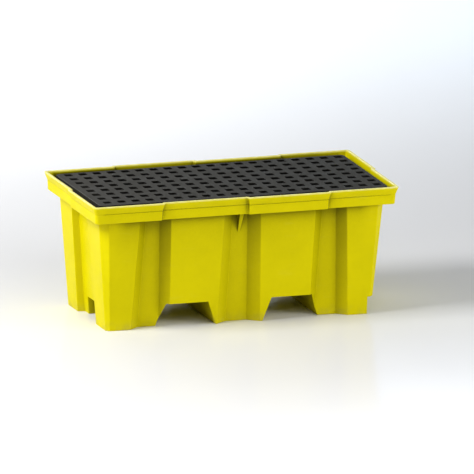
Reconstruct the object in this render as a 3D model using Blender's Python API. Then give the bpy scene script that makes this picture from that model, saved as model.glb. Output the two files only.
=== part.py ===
"""Spill containment pallet: moulded sump tub, lift-off deck grid and six deck columns.

Metres, +Z up, long side along X, front towards -Y, resting on z = 0.
"""
import math

import bmesh
import bpy

# ---- overall size ------------------------------------------------------------------
LENGTH = 1.300
WIDTH = 0.650
HEIGHT = 0.532
SKIN = 0.007
GAP = 0.0003
OVERLAP = 0.002
OVERSHOOT = 0.010
CORNER_SEGMENTS = 5

# ---- rim: two bands, stepped in plan so that neighbouring pallets nest ---------------
RIM_BOTTOM = 0.460
RIM_CREASE = 0.500
RIM_FLARE = 0.010
RIM_TAPER = 0.0025
SIDE_STEP = 0.0105
END_STEP = 0.009
STEP_X = 0.350
STEP_RUN = 0.006
RIM_RADIUS = 0.014
LIP = 0.012

# ---- wall: half sizes and corner chamfer at the rim and at the floor -----------------
WALL_TOP = (0.600, 0.268, 0.033)
WALL_FLOOR = (0.559, 0.236, 0.014)

# side recesses, (outer edge, back outer, back inner, inner edge) from the middle
SIDE_RECESS_TOP = (0.436, 0.400, 0.344, 0.304)
SIDE_RECESS_FLOOR = (0.458, 0.417, 0.328, 0.293)
RECESS_DEPTH = 0.0345
# middle recess, half widths at the front and at the back, and the front one's shift
MID_RECESS_X = -0.003
MID_RECESS_TOP = (0.077, 0.030)
MID_RECESS_FLOOR = (0.091, 0.044)
END_RECESS_TOP = (0.096, 0.087)
END_RECESS_FLOOR = (0.110, 0.101)
END_RECESS_DEPTH = 0.029

# ---- fork passages, notch in the left end and toe step at the right end --------------
FORK_X = 0.220
FORK_ROOF_HALF = 0.086
FORK_FLOOR_HALF = 0.121
FORK_HEIGHT = 0.0955
NOTCH_HALF = 0.058
NOTCH_HEIGHT = 0.0715
NOTCH_X = -0.430
TOE_X = 0.539
TOE_HEIGHT = 0.0705

# ---- gusset under the rim, middle of each long side ----------------------------------
GUSSET_X = 0.005
GUSSET_TOP_HALF = 0.010
GUSSET_FOOT_HALF = 0.0035
GUSSET_FOOT_Z = 0.356
GUSSET_REACH = 0.034
GUSSET_ROOT = 0.005

# ---- deck grid -------------------------------------------------------------------------
DECK_LENGTH = 1.214
DECK_WIDTH = 0.542
DECK_TOP = 0.526
DECK_BOTTOM = RIM_BOTTOM + SKIN + GAP
DECK_RADIUS = 0.018
DECK_PLATE = 0.009
DECK_RIB = 0.008
HOLE_COLUMNS = 20
HOLE_ROWS = 8
HOLE_PITCH_X = 0.0598
HOLE_PITCH_Y = 0.0665
HOLE_SIZE = 0.033
HOLE_CENTRE = (0.008, 0.010)
RIB_AFTER_COLUMNS = tuple(n + 1.5 for n in range(0, 18, 2))
RIB_AFTER_ROWS = tuple(n + 0.5 for n in range(7))

# ---- deck columns ----------------------------------------------------------------------
COLUMN_RADIUS = 0.055
COLUMN_WALL = 0.005
COLUMN_SIDES = 32
COLUMN_SLOT = 0.025
COLUMN_DRAIN = 0.018
COLUMN_AT_COLUMNS = (5.5, 13.5)
COLUMN_AT_ROWS = (1.5, 3.5, 5.5)

# ---- materials, colour and roughness -------------------------------------------------
YELLOW = ((0.80, 0.66, 0.01, 1.0), 0.35)
BLACK = ((0.045, 0.043, 0.040, 1.0), 0.45)
GREY = ((0.10, 0.10, 0.11, 1.0), 0.50)

# ---- mesh clean-up -------------------------------------------------------------------
WELD = 0.00002
FLAT_DEGREES = 0.05
FILLET_SHARE = 0.45


def clear_scene():
    for obj in list(bpy.data.objects):
        bpy.data.objects.remove(obj, do_unlink=True)


def make_material(name, colour, roughness):
    mat = bpy.data.materials.new(name)
    mat.use_nodes = True
    shader = mat.node_tree.nodes["Principled BSDF"]
    shader.inputs["Base Color"].default_value = colour
    shader.inputs["Roughness"].default_value = roughness
    mat.diffuse_color = colour
    return mat


def new_object(name, verts, faces, material=None):
    mesh = bpy.data.meshes.new(name)
    mesh.from_pydata(verts, [], faces)
    mesh.update()
    bm = bmesh.new()
    bm.from_mesh(mesh)
    bmesh.ops.recalc_face_normals(bm, faces=bm.faces)
    bm.to_mesh(mesh)
    bm.free()
    obj = bpy.data.objects.new(name, mesh)
    bpy.context.scene.collection.objects.link(obj)
    if material:
        mesh.materials.append(material)
    return obj


def inset(points, distance):
    """Move every edge of a counter-clockwise outline inwards by the distance."""
    result = []
    count = len(points)
    for i in range(count):
        (ax, ay), (bx, by), (cx, cy) = points[i - 1], points[i], points[(i + 1) % count]
        l1 = math.hypot(bx - ax, by - ay)
        l2 = math.hypot(cx - bx, cy - by)
        n1 = (-(by - ay) / l1, (bx - ax) / l1)
        n2 = (-(cy - by) / l2, (cx - bx) / l2)
        k = distance / (1.0 + n1[0] * n2[0] + n1[1] * n2[1])
        result.append((bx + (n1[0] + n2[0]) * k, by + (n1[1] + n2[1]) * k))
    return result


def fillet(points, radii):
    """Round the corners of an outline; one radius per corner, 0 keeps it sharp."""
    result = []
    count = len(points)
    for i in range(count):
        radius = radii[i]
        (ax, ay), (bx, by), (cx, cy) = points[i - 1], points[i], points[(i + 1) % count]
        if radius <= 0.0:
            result.append((bx, by))
            continue
        l1 = math.hypot(ax - bx, ay - by)
        l2 = math.hypot(cx - bx, cy - by)
        u = ((ax - bx) / l1, (ay - by) / l1)
        v = ((cx - bx) / l2, (cy - by) / l2)
        half = math.acos(max(-1.0, min(1.0, u[0] * v[0] + u[1] * v[1]))) / 2.0
        reach = min(radius / math.tan(half), FILLET_SHARE * l1, FILLET_SHARE * l2)
        p0 = (bx + u[0] * reach, by + u[1] * reach)
        p2 = (bx + v[0] * reach, by + v[1] * reach)
        for s in range(CORNER_SEGMENTS + 1):
            t = s / CORNER_SEGMENTS
            w = math.sin(half)
            b0, b1, b2 = (1 - t) ** 2, 2 * t * (1 - t) * w, t ** 2
            total = b0 + b1 + b2
            result.append(((b0 * p0[0] + b1 * bx + b2 * p2[0]) / total,
                           (b0 * p0[1] + b1 * by + b2 * p2[1]) / total))
    return result


def loft(name, levels, material=None):
    """Closed solid through a stack of (z, outline) levels with equal point counts."""
    count = len(levels[0][1])
    verts = [(x, y, z) for z, outline in levels for x, y in outline]
    faces = [list(range(count - 1, -1, -1))]
    for k in range(len(levels) - 1):
        for i in range(count):
            j = (i + 1) % count
            low, high = k * count, (k + 1) * count
            faces.append([low + i, low + j, high + j])
            faces.append([low + i, high + j, high + i])
    top = (len(levels) - 1) * count
    faces.append([top + i for i in range(count)])
    return new_object(name, verts, faces, material)


def prism(name, outline, axis, low, high):
    """Closed prism: the outline is in the plane across the axis ('X', 'Y' or 'Z')."""
    place = {
        "X": lambda a, b, c: (c, a, b),
        "Y": lambda a, b, c: (a, c, b),
        "Z": lambda a, b, c: (a, b, c),
    }[axis]
    count = len(outline)
    verts = [place(a, b, low) for a, b in outline] + [place(a, b, high) for a, b in outline]
    faces = [list(range(count)), [count + i for i in range(count - 1, -1, -1)]]
    for i in range(count):
        j = (i + 1) % count
        faces.append([i, j, count + j, count + i])
    return new_object(name, verts, faces)


def box(name, x0, x1, y0, y1, z0, z1):
    return prism(name, [(x0, y0), (x1, y0), (x1, y1), (x0, y1)], "Z", z0, z1)


def join(name, pieces):
    """One mesh out of several separate closed meshes."""
    verts, faces = [], []
    for obj in pieces:
        base = len(verts)
        verts += [tuple(v.co) for v in obj.data.vertices]
        faces += [[base + i for i in poly.vertices] for poly in obj.data.polygons]
        bpy.data.objects.remove(obj, do_unlink=True)
    return new_object(name, verts, faces)


def boolean(target, cutter, operation):
    cutter.hide_render = True
    cutter.display_type = "WIRE"
    mod = target.modifiers.new(operation, "BOOLEAN")
    mod.operation = operation
    mod.solver = "EXACT"
    mod.object = cutter
    bpy.context.view_layer.update()
    graph = bpy.context.evaluated_depsgraph_get()
    mesh = bpy.data.meshes.new_from_object(target.evaluated_get(graph))
    target.modifiers.clear()
    target.data = mesh
    bpy.data.objects.remove(cutter, do_unlink=True)


def finish(obj, material):
    """Clean the mesh, triangulate it and set its material."""
    bm = bmesh.new()
    bm.from_mesh(obj.data)
    bmesh.ops.remove_doubles(bm, verts=bm.verts, dist=WELD)
    bmesh.ops.dissolve_limit(bm, angle_limit=math.radians(FLAT_DEGREES),
                             verts=bm.verts, edges=bm.edges)
    bmesh.ops.triangulate(bm, faces=bm.faces)
    bmesh.ops.recalc_face_normals(bm, faces=bm.faces)
    for face in bm.faces:
        face.smooth = False
        face.material_index = 0
    bm.to_mesh(obj.data)
    bm.free()
    obj.data.materials.clear()
    obj.data.materials.append(material)


def half_turn(points):
    return points + [(-x, -y) for x, y in points]


def wall_outline(level, side, mid, end):
    """Sharp plan outline of the tub wall; the second half repeats by a half turn."""
    hx, hy, chamfer = level
    deep = -hy + RECESS_DEPTH
    inner = hx - END_RECESS_DEPTH
    return half_turn([
        (-hx + chamfer, -hy),
        (-side[0], -hy), (-side[1], deep), (-side[2], deep), (-side[3], -hy),
        (MID_RECESS_X - mid[0], -hy), (MID_RECESS_X - mid[1], deep),
        (MID_RECESS_X + mid[1], deep), (MID_RECESS_X + mid[0], -hy),
        (side[3], -hy), (side[2], deep), (side[1], deep), (side[0], -hy),
        (hx - chamfer, -hy), (hx, -hy + chamfer),
        (hx, -end[0]), (inner, -end[1]), (inner, end[1]), (hx, end[0]),
        (hx, hy - chamfer),
    ])


def wall_level(z, depth):
    """Wall outline at a height, moved inwards by the depth."""
    t = z / RIM_BOTTOM

    def mix(low, high):
        return tuple(a + (b - a) * t for a, b in zip(low, high))

    sharp = wall_outline(
        mix(WALL_FLOOR, WALL_TOP),
        mix(SIDE_RECESS_FLOOR, SIDE_RECESS_TOP),
        mix(MID_RECESS_FLOOR, MID_RECESS_TOP),
        mix(END_RECESS_FLOOR, END_RECESS_TOP),
    )
    return z, inset(sharp, depth)


def rim_level(z, depth, radius):
    """Stepped rim outline at a height, moved inwards by the depth."""
    x1, x0 = LENGTH / 2, LENGTH / 2 - END_STEP
    y1, y0 = WIDTH / 2, WIDTH / 2 - SIDE_STEP
    r = STEP_RUN / 2
    sharp = half_turn([
        (-x1, -y1),
        (-STEP_X - r, -y1), (-STEP_X + r, -y0), (-r, -y0), (r, -y1),
        (STEP_X - r, -y1), (STEP_X + r, -y0),
        (x0, -y0), (x0, -r), (x1, r),
    ])
    corners = [radius if i % 10 in (0, 7) else 0.0 for i in range(len(sharp))]
    return z, fillet(inset(sharp, depth), corners)


def trapezoid(centre, roof_half, floor_half, floor_z, roof_z):
    return [(centre - floor_half, floor_z), (centre + floor_half, floor_z),
            (centre + roof_half, roof_z), (centre - roof_half, roof_z)]


def passages(name, grow):
    """Cutter for the fork passages, the end notch and the toe step, grown by a skin."""
    slope = (FORK_FLOOR_HALF - FORK_ROOF_HALF) / FORK_HEIGHT
    side = grow * math.hypot(1.0, slope)
    floor_half = FORK_FLOOR_HALF + side + slope * OVERSHOOT
    roof_half = FORK_ROOF_HALF + side - slope * grow
    lanes = []
    for sign in (-1, 1):
        shape = trapezoid(sign * FORK_X, roof_half, floor_half, -OVERSHOOT, FORK_HEIGHT + grow)
        lanes.append(prism("lane", shape, "Y", -WIDTH, WIDTH))
    notch = box("notch", -LENGTH, NOTCH_X + grow, -NOTCH_HALF - grow, NOTCH_HALF + grow,
                -OVERSHOOT, NOTCH_HEIGHT + grow)
    toe = box("toe", TOE_X - grow, LENGTH, -WIDTH, WIDTH, -OVERSHOOT, TOE_HEIGHT + grow)
    return join(name, lanes + [notch, toe])


def recess_back_y(z):
    """Distance of the recesses' back faces from the middle, at a height."""
    lean = (WALL_TOP[1] - WALL_FLOOR[1]) * z / RIM_BOTTOM
    return WALL_FLOOR[1] + lean - RECESS_DEPTH


def gusset(sign):
    """Tapered web under the rim in the middle recess; sign -1 is the front one."""
    foot_root = recess_back_y(GUSSET_FOOT_Z) - GUSSET_ROOT
    top_root = recess_back_y(RIM_BOTTOM) - GUSSET_ROOT
    reach = recess_back_y(RIM_BOTTOM) + GUSSET_REACH
    cx, a, b = GUSSET_X * sign, GUSSET_TOP_HALF, GUSSET_FOOT_HALF
    top_z = RIM_BOTTOM + OVERLAP
    plan = [
        (cx - b, foot_root, GUSSET_FOOT_Z), (cx + b, foot_root, GUSSET_FOOT_Z),
        (cx - a, top_root, top_z), (cx + a, top_root, top_z),
        (cx - a, reach, top_z), (cx + a, reach, top_z),
    ]
    verts = [(x, sign * y, z) for x, y, z in plan]
    faces = [[0, 1, 3, 2], [2, 3, 5, 4], [0, 4, 5, 1], [0, 2, 4], [1, 5, 3]]
    return new_object("gusset", verts, faces)


def build_sump(material):
    crease = RIM_FLARE
    bottom = RIM_FLARE + RIM_TAPER
    tub = loft("sump_tub", [wall_level(0.0, 0.0), wall_level(RIM_BOTTOM + OVERLAP, 0.0)])
    collar = loft("collar", [
        rim_level(RIM_BOTTOM, bottom, RIM_RADIUS),
        rim_level(RIM_CREASE, crease, RIM_RADIUS),
        rim_level(HEIGHT, 0.0, RIM_RADIUS),
    ])
    boolean(tub, collar, "UNION")
    boolean(tub, gusset(-1), "UNION")
    boolean(tub, gusset(1), "UNION")
    inner_radius = RIM_RADIUS - SKIN
    pocket = loft("pocket", [
        rim_level(RIM_BOTTOM + SKIN, bottom + SKIN, inner_radius),
        rim_level(RIM_CREASE, crease + SKIN, inner_radius),
        rim_level(HEIGHT, LIP, inner_radius),
        rim_level(HEIGHT + OVERSHOOT, LIP, inner_radius),
    ])
    hollow_top = RIM_BOTTOM + SKIN + OVERLAP
    hollow = loft("hollow", [wall_level(SKIN, SKIN), wall_level(hollow_top, SKIN)])
    boolean(hollow, passages("raised_floor", SKIN), "DIFFERENCE")
    boolean(tub, pocket, "DIFFERENCE")
    boolean(tub, hollow, "DIFFERENCE")
    boolean(tub, passages("passages", 0.0), "DIFFERENCE")
    finish(tub, material)
    return tub


def hole_x(column):
    return HOLE_CENTRE[0] + (column - (HOLE_COLUMNS - 1) / 2) * HOLE_PITCH_X


def hole_y(row):
    return HOLE_CENTRE[1] - (row - (HOLE_ROWS - 1) / 2) * HOLE_PITCH_Y


def build_deck(material):
    hx, hy = DECK_LENGTH / 2, DECK_WIDTH / 2
    sharp = [(-hx, -hy), (hx, -hy), (hx, hy), (-hx, hy)]
    plan = fillet(sharp, [DECK_RADIUS] * 4)
    deck = loft("deck_grid", [(DECK_BOTTOM, plan), (DECK_TOP, plan)])
    plate_under = DECK_TOP - DECK_PLATE
    half = DECK_RIB / 2
    xs = [hole_x(c) for c in RIB_AFTER_COLUMNS]
    ys = sorted(hole_y(r) for r in RIB_AFTER_ROWS)
    x_lines = [-hx + half] + xs + [hx - half]
    y_lines = [-hy + half] + ys + [hy - half]
    cells = []
    for x0, x1 in zip(x_lines, x_lines[1:]):
        for y0, y1 in zip(y_lines, y_lines[1:]):
            cells.append(box("cell", x0 + half, x1 - half, y0 + half, y1 - half,
                             DECK_BOTTOM - OVERSHOOT, plate_under))
    boolean(deck, join("cells", cells), "DIFFERENCE")
    holes = []
    for column in range(HOLE_COLUMNS):
        for row in range(HOLE_ROWS):
            x, y = hole_x(column), hole_y(row)
            holes.append(box("hole", x - HOLE_SIZE / 2, x + HOLE_SIZE / 2,
                             y - HOLE_SIZE / 2, y + HOLE_SIZE / 2,
                             plate_under - OVERSHOOT, DECK_TOP + OVERSHOOT))
    boolean(deck, join("holes", holes), "DIFFERENCE")
    finish(deck, material)
    return deck


def ring(radius):
    step = 2 * math.pi / COLUMN_SIDES
    return [(radius * math.cos(i * step), radius * math.sin(i * step))
            for i in range(COLUMN_SIDES)]


def build_column(name, x, y, material):
    foot = FORK_HEIGHT + SKIN + GAP
    top = DECK_BOTTOM + COLUMN_SLOT
    column = prism(name, ring(COLUMN_RADIUS), "Z", foot, top)
    bore = prism("bore", ring(COLUMN_RADIUS - COLUMN_WALL), "Z", foot - OVERSHOOT, top + OVERSHOOT)
    boolean(column, bore, "DIFFERENCE")
    reach = COLUMN_RADIUS + OVERSHOOT
    half = DECK_RIB / 2 + GAP
    drain = COLUMN_DRAIN / 2
    for hx, hy in ((reach, half), (half, reach)):
        boolean(column, box("rib_slot", -hx, hx, -hy, hy, DECK_BOTTOM - GAP, top + OVERSHOOT),
                "DIFFERENCE")
    for hx, hy in ((reach, drain), (drain, reach)):
        boolean(column, box("drain", -hx, hx, -hy, hy, foot - OVERSHOOT, foot + COLUMN_DRAIN),
                "DIFFERENCE")
    finish(column, material)
    for vert in column.data.vertices:
        vert.co.x += x
        vert.co.y += y
    for poly in column.data.polygons:
        poly.use_smooth = abs(poly.normal.z) < 0.5
    return column


def main():
    clear_scene()
    yellow = make_material("yellow_polyethylene", *YELLOW)
    black = make_material("black_polyethylene", *BLACK)
    grey = make_material("grey_polyethylene", *GREY)
    build_sump(yellow)
    build_deck(black)
    number = 0
    for at_column in COLUMN_AT_COLUMNS:
        for at_row in COLUMN_AT_ROWS:
            number += 1
            build_column("deck_column_%d" % number, hole_x(at_column), hole_y(at_row), grey)


main()
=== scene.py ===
"""Looks of the spill containment pallet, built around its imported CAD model. Metres, +Z up."""
import math

import bmesh
import bpy
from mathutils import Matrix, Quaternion, Vector


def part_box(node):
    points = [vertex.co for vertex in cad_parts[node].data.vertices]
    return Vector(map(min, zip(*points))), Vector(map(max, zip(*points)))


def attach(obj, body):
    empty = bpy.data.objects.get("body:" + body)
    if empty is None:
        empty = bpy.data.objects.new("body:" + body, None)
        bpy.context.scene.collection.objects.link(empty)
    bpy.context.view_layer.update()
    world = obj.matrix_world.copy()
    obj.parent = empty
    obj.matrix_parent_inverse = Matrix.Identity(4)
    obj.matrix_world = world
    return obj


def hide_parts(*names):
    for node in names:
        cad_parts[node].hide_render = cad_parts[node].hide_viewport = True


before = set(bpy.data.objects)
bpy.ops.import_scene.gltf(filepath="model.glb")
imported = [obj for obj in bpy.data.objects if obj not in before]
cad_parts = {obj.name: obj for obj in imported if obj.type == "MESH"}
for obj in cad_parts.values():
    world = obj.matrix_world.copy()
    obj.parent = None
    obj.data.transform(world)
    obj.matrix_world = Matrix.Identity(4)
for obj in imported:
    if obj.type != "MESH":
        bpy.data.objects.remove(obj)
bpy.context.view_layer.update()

# ---- camera ------------------------------------------------------------------------------
CAMERA_AZIMUTH = -19.62
CAMERA_ELEVATION = 13.96
CAMERA_ROLL = 1.0
CAMERA_TARGET = (0.0427, -0.0741, 0.3089)
CAMERA_DISTANCE = 6.0
CAMERA_FARTHEST = 50.0
VIEW_WIDTH = 1.8843

# ---- moulded edges: widths in metres, angles in degrees ---------------------------------
WELD = 0.00001
FLAT_ANGLE = 5.0
SOFT_ANGLE = 20.0
HARD_ANGLE = 30.0
TUBE_ANGLE = 60.0
CORNER_ANGLE = 80.0
UPRIGHT = 0.9
TUB_EDGE = 0.0040
HOLE_CORNER = 0.0045
HOLE_EDGE = 0.0012
DECK_BORDER = 0.0030
DECK_MARGIN = 0.008
COLUMN_EDGE = 0.0010
COLUMNS = 6
EDGE_STEPS = 3
SMALL_EDGE_STEPS = 2
ROUND_PROFILE = 0.5
FACE_WEIGHT = 100
SAME_WEIGHT = 0.01
# Mesh layer of rounded edges and the lip, painted pale: partly abrasion, partly a painted
# highlight.
WEAR_AND_HIGHLIGHT_LAYER = "edge_wear_and_highlight"

# ---- groove along the crease between the rim's two bands, and the lip's pale band: abrasion and a painted highlight ---
CREASE_Z = 0.500
CREASE_LEVEL = 0.0008
CREASE_LEAST = 4.5
GROOVE_HALF = 0.0022
GROOVE_DEPTH = 0.0016
LIP_WEAR_AND_HIGHLIGHT = 0.007


def direction(azimuth, elevation):
    """Unit vector from the object towards a viewer; azimuth 0 looks along +Y."""
    a, e = math.radians(azimuth), math.radians(elevation)
    return Vector((math.sin(a) * math.cos(e), -math.cos(a) * math.cos(e), math.sin(e)))


def aim(obj, target):
    """Turn a camera or a light so that it looks at the target."""
    away = (obj.location - Vector(target)).normalized()
    obj.rotation_euler = away.to_track_quat("Z", "Y").to_euler()


def add_camera():
    data = bpy.data.cameras.new("camera")
    data.type = "ORTHO"
    data.ortho_scale = VIEW_WIDTH
    data.clip_end = CAMERA_FARTHEST
    camera = bpy.data.objects.new("camera", data)
    bpy.context.scene.collection.objects.link(camera)
    away = direction(CAMERA_AZIMUTH, CAMERA_ELEVATION)
    camera.location = Vector(CAMERA_TARGET) + away * CAMERA_DISTANCE
    upright = away.to_track_quat("Z", "Y")
    camera.rotation_euler = (upright @ Quaternion((0, 0, 1), math.radians(CAMERA_ROLL))).to_euler()
    bpy.context.scene.camera = camera


# ---- meshes ------------------------------------------------------------------------------
def welded_mesh(node):
    bm = bmesh.new()
    bm.from_mesh(node.data)
    for layer in list(bm.loops.layers.uv.values()):
        bm.loops.layers.uv.remove(layer)
    bmesh.ops.remove_doubles(bm, verts=bm.verts, dist=WELD)
    bm.normal_update()
    return bm


def join_flat_faces(bm):
    """Join up the triangles of each nearly flat face."""
    bmesh.ops.dissolve_limit(bm, angle_limit=math.radians(FLAT_ANGLE), verts=bm.verts,
                             edges=bm.edges, delimit=set())
    bm.normal_update()


def fold(edge):
    """Angle in degrees between the two faces on an edge."""
    return math.degrees(edge.calc_face_angle(0.0))


def upright(edge):
    """Whether an edge runs mostly up and down."""
    along = (edge.verts[0].co - edge.verts[1].co).normalized()
    return abs(along.z) > UPRIGHT


def round_edges(bm, edges, width, steps=EDGE_STEPS):
    """Bevel the edges into round ones and raise the edge layer along their middles, which the
    shader paints pale, partly as abrasion and partly as a painted highlight.
    """
    if not edges:
        return
    made = bmesh.ops.bevel(bm, geom=edges, offset=width, offset_type="OFFSET", segments=steps,
                           profile=ROUND_PROFILE, affect="EDGES", clamp_overlap=True,
                           loop_slide=True, material=-1)
    rounded = set(made["faces"])
    layer = bm.verts.layers.float.get(WEAR_AND_HIGHLIGHT_LAYER) or bm.verts.layers.float.new(WEAR_AND_HIGHLIGHT_LAYER)
    for vert in made["verts"]:
        if vert.is_valid and all(face in rounded for face in vert.link_faces):
            vert[layer] = 1.0
    bm.normal_update()


def number_by(elements, place):
    """Number vertices or faces by their places; bevels number them differently each run."""
    rank = {element: i for i, element in enumerate(sorted(elements, key=place))}
    elements.sort(key=rank.get)
    elements.index_update()


def show_instead(node, name, bm, body, material):
    """Turn the refined mesh into the visible piece that stands for a CAD node."""
    number_by(bm.verts, lambda vert: tuple(vert.co))
    number_by(bm.faces, lambda face: sorted(vert.index for vert in face.verts))
    mesh = bpy.data.meshes.new(name)
    bm.to_mesh(mesh)
    bm.free()
    mesh.materials.clear()
    mesh.materials.append(material)
    mesh.polygons.foreach_set("use_smooth", [True] * len(mesh.polygons))
    piece = bpy.data.objects.new(name, mesh)
    bpy.context.scene.collection.objects.link(piece)
    normals = piece.modifiers.new("face_weighted_normals", "WEIGHTED_NORMAL")
    normals.mode = "FACE_AREA"
    normals.weight = FACE_WEIGHT
    normals.thresh = SAME_WEIGHT
    normals.keep_sharp = True
    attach(piece, body)
    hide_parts(node)
    return piece


def faces_out(vert):
    """Whether the surface at a vertex looks away from the tub's middle."""
    return vert.normal.x * vert.co.x + vert.normal.y * vert.co.y > 0.0


def cut_groove(bm):
    """Sink a shallow V groove along the outer crease of the rim."""
    crease = [e for e in bm.edges
              if all(abs(v.co.z - CREASE_Z) < CREASE_LEVEL and faces_out(v) for v in e.verts)
              and CREASE_LEAST < fold(e) < SOFT_ANGLE]
    made = bmesh.ops.bevel(bm, geom=crease, offset=GROOVE_HALF, offset_type="OFFSET",
                           segments=SMALL_EDGE_STEPS, profile=ROUND_PROFILE, affect="EDGES",
                           clamp_overlap=True, loop_slide=True)
    bm.normal_update()
    sides = set(made["faces"])
    bottom = [v for v in made["verts"] if v.is_valid and all(f in sides for f in v.link_faces)]
    inward = {v: Vector((-v.normal.x, -v.normal.y, 0.0)).normalized() for v in bottom}
    for vert in bottom:
        vert.co += inward[vert] * GROOVE_DEPTH
    bm.normal_update()


def rub_and_highlight_lip(bm, height):
    """Fade the edge layer in from a ring at the height up to the lip above it, so the lip gets a
    pale band, partly abrasion and partly a painted highlight.
    """
    bmesh.ops.bisect_plane(bm, geom=bm.verts[:] + bm.edges[:] + bm.faces[:], dist=WELD,
                           plane_co=(0.0, 0.0, height), plane_no=(0.0, 0.0, 1.0))
    layer = bm.verts.layers.float[WEAR_AND_HIGHLIGHT_LAYER]
    for vert in bm.verts:
        if abs(vert.co.z - height) < WELD:
            vert[layer] = 0.0
        elif vert.co.z > height:
            vert[layer] = 1.0
    bm.normal_update()


def build_tub(material):
    bm = welded_mesh(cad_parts["sump_tub"])
    join_flat_faces(bm)
    folds = [e for e in bm.edges if fold(e) > SOFT_ANGLE]
    round_edges(bm, folds, TUB_EDGE)
    cut_groove(bm)
    rub_and_highlight_lip(bm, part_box("sump_tub")[1].z - LIP_WEAR_AND_HIGHLIGHT)
    return show_instead("sump_tub", "tub_moulding", bm, "sump",
                        material)


def folds_level_with(bm, height):
    """The hard edges that lie in the level top face at the height."""
    return [e for e in bm.edges
            if fold(e) > HARD_ANGLE and min(v.co.z for v in e.verts) > height - WELD]


def on_border(edge, corner):
    """Whether an edge is on the deck's outline, whose largest x and y the corner gives."""
    return any(abs(v.co.x) > corner.x - DECK_MARGIN or abs(v.co.y) > corner.y - DECK_MARGIN
               for v in edge.verts)


def build_deck(material):
    bm = welded_mesh(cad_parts["deck_grid"])
    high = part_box("deck_grid")[1]
    corners = [e for e in bm.edges
               if upright(e) and fold(e) > CORNER_ANGLE
               and max(v.co.z for v in e.verts) > high.z - WELD]
    round_edges(bm, corners, HOLE_CORNER)
    holes = [e for e in folds_level_with(bm, high.z) if not on_border(e, high)]
    round_edges(bm, holes, HOLE_EDGE, SMALL_EDGE_STEPS)
    border = [e for e in folds_level_with(bm, high.z) if on_border(e, high)]
    round_edges(bm, border, DECK_BORDER)
    for edge in bm.edges:
        edge.smooth = fold(edge) < HARD_ANGLE
    return show_instead("deck_grid", "deck_panel", bm, "deck", material)


def build_column(number, material):
    node = "deck_column_%d" % number
    bm = welded_mesh(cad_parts[node])
    join_flat_faces(bm)
    rims = [e for e in bm.edges if fold(e) > TUBE_ANGLE]
    round_edges(bm, rims, COLUMN_EDGE, SMALL_EDGE_STEPS)
    return show_instead(node, "column_tube_%d" % number, bm, "deck",
                        material)


# ---- light and floor ---------------------------------------------------------------------
LIGHT_DISTANCE = 5.0
LIGHT_SIZE = 1.8
LIGHT_AIM = (0.0, 0.0, 0.3)
# name, azimuth, elevation, watts
LAMPS = (
    ("key", -80.0, 40.0, 228.0),
    ("left_low", -95.0, 15.0, 40.0),
    ("right_low", 50.0, 10.0, 96.0),
    ("right_rim", 100.0, 8.0, 26.0),
)
# name, place, watts, colour; each shines straight down
WASH_SIZE = 3.0
WHITE = (1.0, 1.0, 1.0)
PALE_BLUE = (0.74, 0.87, 1.0)
WASHES = (
    ("back_wash", (-0.5, 4.5, 2.6), 132.0, WHITE),
    ("back_wash_right", (3.2, 5.2, 2.5), 92.0, PALE_BLUE),
    ("front_wash", (0.0, -3.4, 2.4), 62.0, WHITE),
)
WORLD_STRENGTH = 0.03
FLOOR_HALF = 14.0
FLOOR_BACK = 9.0
BACKDROP_BEND = 2.0
BACKDROP_TOP = 9.0
BEND_STEPS = 12


def place_around(azimuth, elevation):
    """Place of a lamp on the sphere round the object."""
    return Vector(LIGHT_AIM) + direction(azimuth, elevation) * LIGHT_DISTANCE


def add_area_light(name, location, size, watts, target, colour=WHITE):
    data = bpy.data.lights.new(name, "AREA")
    data.shape = "SQUARE"
    data.size = size
    data.energy = watts
    data.color = colour
    light = bpy.data.objects.new(name, data)
    bpy.context.scene.collection.objects.link(light)
    light.location = location
    aim(light, target)


def add_world(strength):
    world = bpy.data.worlds.new("studio")
    world.use_nodes = True
    background = world.node_tree.nodes["Background"]
    background.inputs["Color"].default_value = (*WHITE, 1.0)
    background.inputs["Strength"].default_value = strength
    bpy.context.scene.world = world


def add_lights():
    for name, azimuth, elevation, watts in LAMPS:
        place = place_around(azimuth, elevation)
        add_area_light(name, place, LIGHT_SIZE, watts, LIGHT_AIM)
    for name, place, watts, colour in WASHES:
        below = (place[0], place[1], 0.0)
        add_area_light(name, place, WASH_SIZE, watts, below, colour)


def add_floor(material):
    """A level floor that bends up into a backdrop behind the object."""
    profile = [(-FLOOR_HALF, 0.0), (FLOOR_BACK, 0.0)]
    for i in range(1, BEND_STEPS + 1):
        turn = i / BEND_STEPS * math.pi / 2
        profile.append((FLOOR_BACK + BACKDROP_BEND * math.sin(turn),
                        BACKDROP_BEND - BACKDROP_BEND * math.cos(turn)))
    profile.append((FLOOR_BACK + BACKDROP_BEND, BACKDROP_TOP))
    verts, faces = [], []
    for y, z in profile:
        verts += [(-FLOOR_HALF, y, z), (FLOOR_HALF, y, z)]
    for i in range(len(profile) - 1):
        faces.append((2 * i, 2 * i + 1, 2 * i + 3, 2 * i + 2))
    mesh = bpy.data.meshes.new("studio_floor")
    mesh.from_pydata(verts, [], faces)
    mesh.materials.append(material)
    for poly in mesh.polygons:
        poly.use_smooth = True
    floor = bpy.data.objects.new("studio_floor", mesh)
    bpy.context.scene.collection.objects.link(floor)


# ---- materials ---------------------------------------------------------------------------
# Noise layers: cells to a metre, detail, and the noise values where a layer starts and is full.
MOTTLE = (6.0, 3.0, 0.30, 0.70)
MOTTLE_TONES = (0.95, 1.04)
CLOUD = (45.0, 4.0, 0.45, 0.75)
CLOUD_AMOUNT = 0.10
CLOUD_TONE = 0.80
SCUFF = (9.0, 6.0, 0.62, 0.72)
SCUFF_STRETCH = (1.0, 7.0, 5.0)
SCUFF_AMOUNT = 0.03
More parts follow.
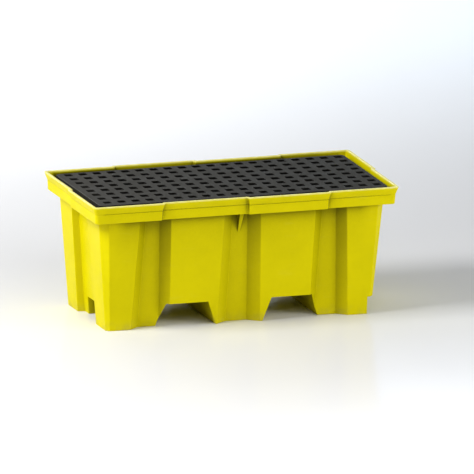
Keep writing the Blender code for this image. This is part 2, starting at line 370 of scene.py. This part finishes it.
# Pale edge patches: partly abrasion, partly a painted highlight.
RUBBED = (38.0, 5.0, 0.40, 0.60)
RUBBED_AND_HIGHLIGHT_AMOUNT = (0.50, 0.85)
RUBBED_POLISH = 0.9
RUBBED_ROUGHNESS = 0.22
DUST = (22.0, 5.0, 0.40, 0.65)
DUST_AMOUNT = 0.30
DUST_HEIGHT = 0.045
GLOSS = (14.0, 4.0, 0.30, 0.70)
GLOSS_SPREAD = (-0.05, 0.06)
WORN_ROUGHER = 0.20
FINE_DETAIL = 2.0

# Painted shade of corners and gaps, darkening the base colour: the openness where it is full and
# where it ends.
CLOSED = 0.55
OPEN = 1.00
OPENNESS_SAMPLES = 8
CREVICE_REACH = 0.22
CREVICE_SHADE = 0.26
CREVICE_ENDS = (0.49, 0.54)
CREVICE_AT_ENDS = 0.2
GAP_REACH = 0.05
GAP_SHADE = 0.05
GAP_HEIGHTS = (0.44, 0.49)
GAP_ENDS = (0.600, 0.612)
GAP_TOP = (0.522, 0.528)


class Recipe:
    """A material under construction: small helpers that add and link shader nodes."""

    def __init__(self, name):
        self.material = bpy.data.materials.new(name)
        self.material.use_nodes = True
        self.tree = self.material.node_tree
        self.shader = self.tree.nodes["Principled BSDF"]
        self.place = self.add("ShaderNodeTexCoord").outputs["Object"]

    def add(self, kind, **inputs):
        """Add a node; a number or colour sets an input, and an output links to it."""
        node = self.tree.nodes.new(kind)
        for key, value in inputs.items():
            self.feed(node.inputs[key], value)
        return node

    def feed(self, socket, value):
        if isinstance(value, bpy.types.NodeSocket):
            self.tree.links.new(value, socket)
        else:
            socket.default_value = value

    def set(self, **levels):
        """Set the shader's own sockets; an underscore in a name stands for a space."""
        for key, value in levels.items():
            self.feed(self.shader.inputs[key.replace("_", " ")], value)

    def noise(self, scale, detail, stretch=None):
        """Noise with so many cells to a metre, from 0 to 1, optionally stretched."""
        place = self.place
        if stretch:
            mapping = self.add("ShaderNodeMapping", Vector=place, Scale=stretch)
            place = mapping.outputs["Vector"]
        node = self.add("ShaderNodeTexNoise", Vector=place, Scale=scale, Detail=detail)
        return node.outputs["Fac"]

    def ramp(self, value, low, high, to_low=0.0, to_high=1.0):
        """Map low..high to to_low..to_high, and hold the ends."""
        node = self.add("ShaderNodeMapRange", Value=value)
        node.clamp = True
        for key, number in (("From Min", low), ("From Max", high),
                            ("To Min", to_low), ("To Max", to_high)):
            node.inputs[key].default_value = number
        return node.outputs["Result"]

    def patches(self, layer, least=0.0, most=1.0, stretch=None):
        """Patches of a noise layer, from least between them to most inside them."""
        scale, detail, start, full = layer
        return self.ramp(self.noise(scale, detail, stretch), start, full, least, most)

    def calculate(self, operation, *values):
        node = self.tree.nodes.new("ShaderNodeMath")
        node.operation = operation
        for socket, value in zip(node.inputs, values):
            self.feed(socket, value)
        return node.outputs["Value"]

    def times(self, a, b):
        return self.calculate("MULTIPLY", a, b)

    def plus(self, a, b):
        return self.calculate("ADD", a, b)

    def blend(self, amount, a, b):
        """Mix two colours."""
        node = self.tree.nodes.new("ShaderNodeMix")
        node.data_type = "RGBA"
        sockets = {"Factor": amount, "A": a, "B": b}
        for socket in node.inputs:
            if socket.enabled and socket.name in sockets:
                self.feed(socket, sockets[socket.name])
        return next(out for out in node.outputs if out.enabled)

    def wear_and_highlight(self):
        """The edge layer of the mesh: 1 along rounded edges, 0 on the faces; it sets the pale
        paint of abrasion and of painted highlights.
        """
        node = self.tree.nodes.new("ShaderNodeAttribute")
        node.attribute_name = WEAR_AND_HIGHLIGHT_LAYER
        return node.outputs["Fac"]

    def along(self, axis):
        """Place along one axis of the part's own frame, in metres."""
        return self.add("ShaderNodeSeparateXYZ", Vector=self.place).outputs[axis]

    def closeness(self, reach, own_piece_only):
        """1 deep in a corner or a gap, falling to 0 on an open face; it masks the painted shade.
        """
        node = self.add("ShaderNodeAmbientOcclusion", Distance=reach)
        node.samples = OPENNESS_SAMPLES
        node.only_local = own_piece_only
        return self.ramp(node.outputs["AO"], CLOSED, OPEN, 1.0, 0.0)

    def bump(self, height, depth, below=None):
        """Raise the surface by height times the depth in metres, on top of a coarser bump."""
        node = self.add("ShaderNodeBump", Height=height, Distance=depth)
        if below is not None:
            self.feed(node.inputs["Normal"], below)
        return node.outputs["Normal"]


def shade(colour, factor=1.0):
    """A colour made darker or lighter, with its alpha."""
    return tuple(min(1.0, c * factor) for c in colour) + (1.0,)


def painted_shade_in_tone(made, tone, colour):
    """Painted shade: darken the base colour in the recesses, and in the gap round the deck, by how
    closed in they are; both fade towards the tub's ends.
    """
    from_middle = made.calculate("ABSOLUTE", made.along("X"))
    crevice = made.times(made.closeness(CREVICE_REACH, True),
                         made.ramp(from_middle, *CREVICE_ENDS, 1.0, CREVICE_AT_ENDS))
    tone = made.blend(crevice, tone, shade(colour, CREVICE_SHADE))
    gap = made.times(made.closeness(GAP_REACH, False),
                     made.ramp(made.along("Z"), *GAP_HEIGHTS))
    gap = made.times(gap, made.ramp(from_middle, *GAP_ENDS, 1.0, 0.0))
    gap = made.times(gap, made.ramp(made.along("Z"), *GAP_TOP, 1.0, 0.0))
    return made.blend(gap, tone, shade(colour, GAP_SHADE))


def polyethylene(name, colour, worn_and_highlight, dirt, roughness, specular, peel, grain):
    """Moulded polyethylene: mottled colour, pale edges and lip (partly abrasion, partly a painted
    highlight), dust low down, painted shade in recesses and gaps, orange peel and grain.

    peel and grain are (cells to a metre, depth in metres).
    """
    made = Recipe(name)
    darker, lighter = MOTTLE_TONES
    tone = made.blend(made.patches(MOTTLE), shade(colour, darker), shade(colour, lighter))
    cloud = made.patches(CLOUD, most=CLOUD_AMOUNT)
    tone = made.blend(cloud, tone, shade(colour, CLOUD_TONE))
    scuff = made.patches(SCUFF, most=SCUFF_AMOUNT, stretch=SCUFF_STRETCH)
    tone = made.blend(scuff, tone, shade(worn_and_highlight))
    # pale edges and lip: partly abrasion, partly a painted highlight
    rubbed_and_highlight = made.times(made.wear_and_highlight(), made.patches(RUBBED, *RUBBED_AND_HIGHLIGHT_AMOUNT))
    tone = made.blend(rubbed_and_highlight, tone, shade(worn_and_highlight))
    low_down = made.ramp(made.along("Z"), 0.0, DUST_HEIGHT, DUST_AMOUNT, 0.0)
    tone = made.blend(made.times(low_down, made.patches(DUST)), tone, shade(dirt))
    # painted shade in the recesses and in the gap round the deck
    tone = painted_shade_in_tone(made, tone, colour)
    glossiest, dullest = (roughness + spread for spread in GLOSS_SPREAD)
    gloss = made.patches(GLOSS, glossiest, dullest)
    gloss = made.plus(gloss, made.times(made.plus(rubbed_and_highlight, scuff), WORN_ROUGHER))
    surface = made.bump(made.noise(peel[0], FINE_DETAIL), peel[1])
    surface = made.bump(made.noise(grain[0], FINE_DETAIL), grain[1], surface)
    made.set(Base_Color=tone, Roughness=gloss, Specular_IOR_Level=specular, Normal=surface,
             Coat_Weight=made.times(rubbed_and_highlight, RUBBED_POLISH), Coat_Roughness=RUBBED_ROUGHNESS)
    return made.material


def studio_white(name, colour, roughness, specular):
    made = Recipe(name)
    made.set(Base_Color=shade(colour), Roughness=roughness, Specular_IOR_Level=specular)
    return made.material


# ---- the scene ---------------------------------------------------------------------------
yellow = polyethylene("yellow_polyethylene", colour=(0.715, 0.625, 0.0004),
                      worn_and_highlight=(0.94, 0.88, 0.26), dirt=(0.30, 0.26, 0.10),
                      roughness=0.38, specular=0.045,
                      peel=(170.0, 0.00020), grain=(900.0, 0.00003))
black = polyethylene("black_polyethylene", colour=(0.040, 0.038, 0.032),
                     worn_and_highlight=(0.09, 0.09, 0.084), dirt=(0.12, 0.11, 0.09),
                     roughness=0.62, specular=0.06,
                     peel=(260.0, 0.00015), grain=(1200.0, 0.00004))
grey = polyethylene("grey_polyethylene", colour=(0.10, 0.10, 0.11),
                    worn_and_highlight=(0.18, 0.18, 0.19), dirt=(0.12, 0.11, 0.09),
                    roughness=0.50, specular=0.30,
                    peel=(260.0, 0.00015), grain=(1200.0, 0.00003))
floor_white = studio_white("floor_white", (0.84, 0.84, 0.85), roughness=0.18, specular=0.04)

build_tub(yellow)
build_deck(black)
for column in range(1, COLUMNS + 1):
    build_column(column, grey)

bpy.context.scene.view_settings.view_transform = "Standard"
add_camera()
add_world(WORLD_STRENGTH)
add_lights()
add_floor(floor_white)
